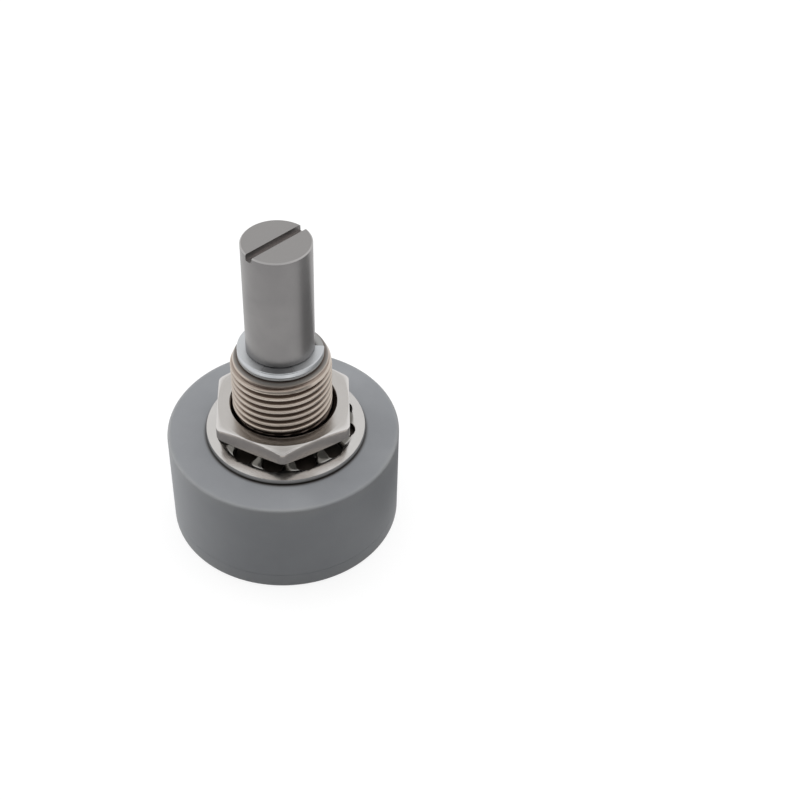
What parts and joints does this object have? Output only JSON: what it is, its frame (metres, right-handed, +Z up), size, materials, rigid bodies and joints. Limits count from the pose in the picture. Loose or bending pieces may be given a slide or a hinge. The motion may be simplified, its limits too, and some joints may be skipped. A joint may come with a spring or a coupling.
{
  "type": "conductive plastic potentiometer",
  "caption": "Round rotary potentiometer with a threaded mounting bushing, lock washer, thin nut and slotted shaft that turns a wiper over a conductive plastic track between stops.",
  "frame": {"origin": "centre of the flat rear face, on the shaft's axis", "axes": "+Z up the shaft, away from the rear face; +Y towards the side where the terminals leave; +X completes the right-handed frame"},
  "size_m": [0.0222, 0.0268, 0.0327],
  "materials": {
    "body_plastic": "fine matt moulded grey plastic",
    "bushing_nickel": "nickel plate on turned brass, satin and warm",
    "bright_nickel": "bright nickel plate on brass",
    "washer_nickel": "bright nickel plate on spring steel",
    "shaft_steel": "satin turned stainless steel",
    "ring_zinc": "bright zinc plate on spring steel",
    "thrust_plastic": "smooth low-friction plastic",
    "rotor_plastic": "matt moulded black plastic",
    "spring_bronze": "rolled spring bronze",
    "brush_alloy": "drawn precious-metal wire",
    "disc_laminate": "paper laminate",
    "track_ink": "polished carbon-filled plastic",
    "silver_ink": "matt silver ink",
    "terminal_gold": "gold plate on brass",
    "rivet_metal": "tin plate on brass"
  },
  "bodies": {
    "fixed_body": {"housing": "body_plastic", "rear_cover": "body_plastic", "bushing": "bushing_nickel", "mounting_nut": "bright_nickel", "lock_washer": "washer_nickel", "thrust_washer": "thrust_plastic", "element_disc": "disc_laminate", "resistive_track": "track_ink", "collector_track": "silver_ink", "end_pad_ccw": "silver_ink", "end_pad_cw": "silver_ink", "terminal_ccw": "terminal_gold", "terminal_wiper": "terminal_gold", "terminal_cw": "terminal_gold", "terminal_rivets": "rivet_metal"},
    "turning_shaft": {"shaft": "shaft_steel", "retaining_ring": "ring_zinc", "rotor": "rotor_plastic", "contact_spring": "spring_bronze", "track_brush": "brush_alloy", "collector_brush": "brush_alloy"}
  },
  "joints": [
    {"name": "shaft_turn", "type": "hinge", "parent": "fixed_body", "child": "turning_shaft", "pos_m": [0, 0, 0], "axis": [0, 0, 1], "range_deg": [-170, 170]}
  ]
}
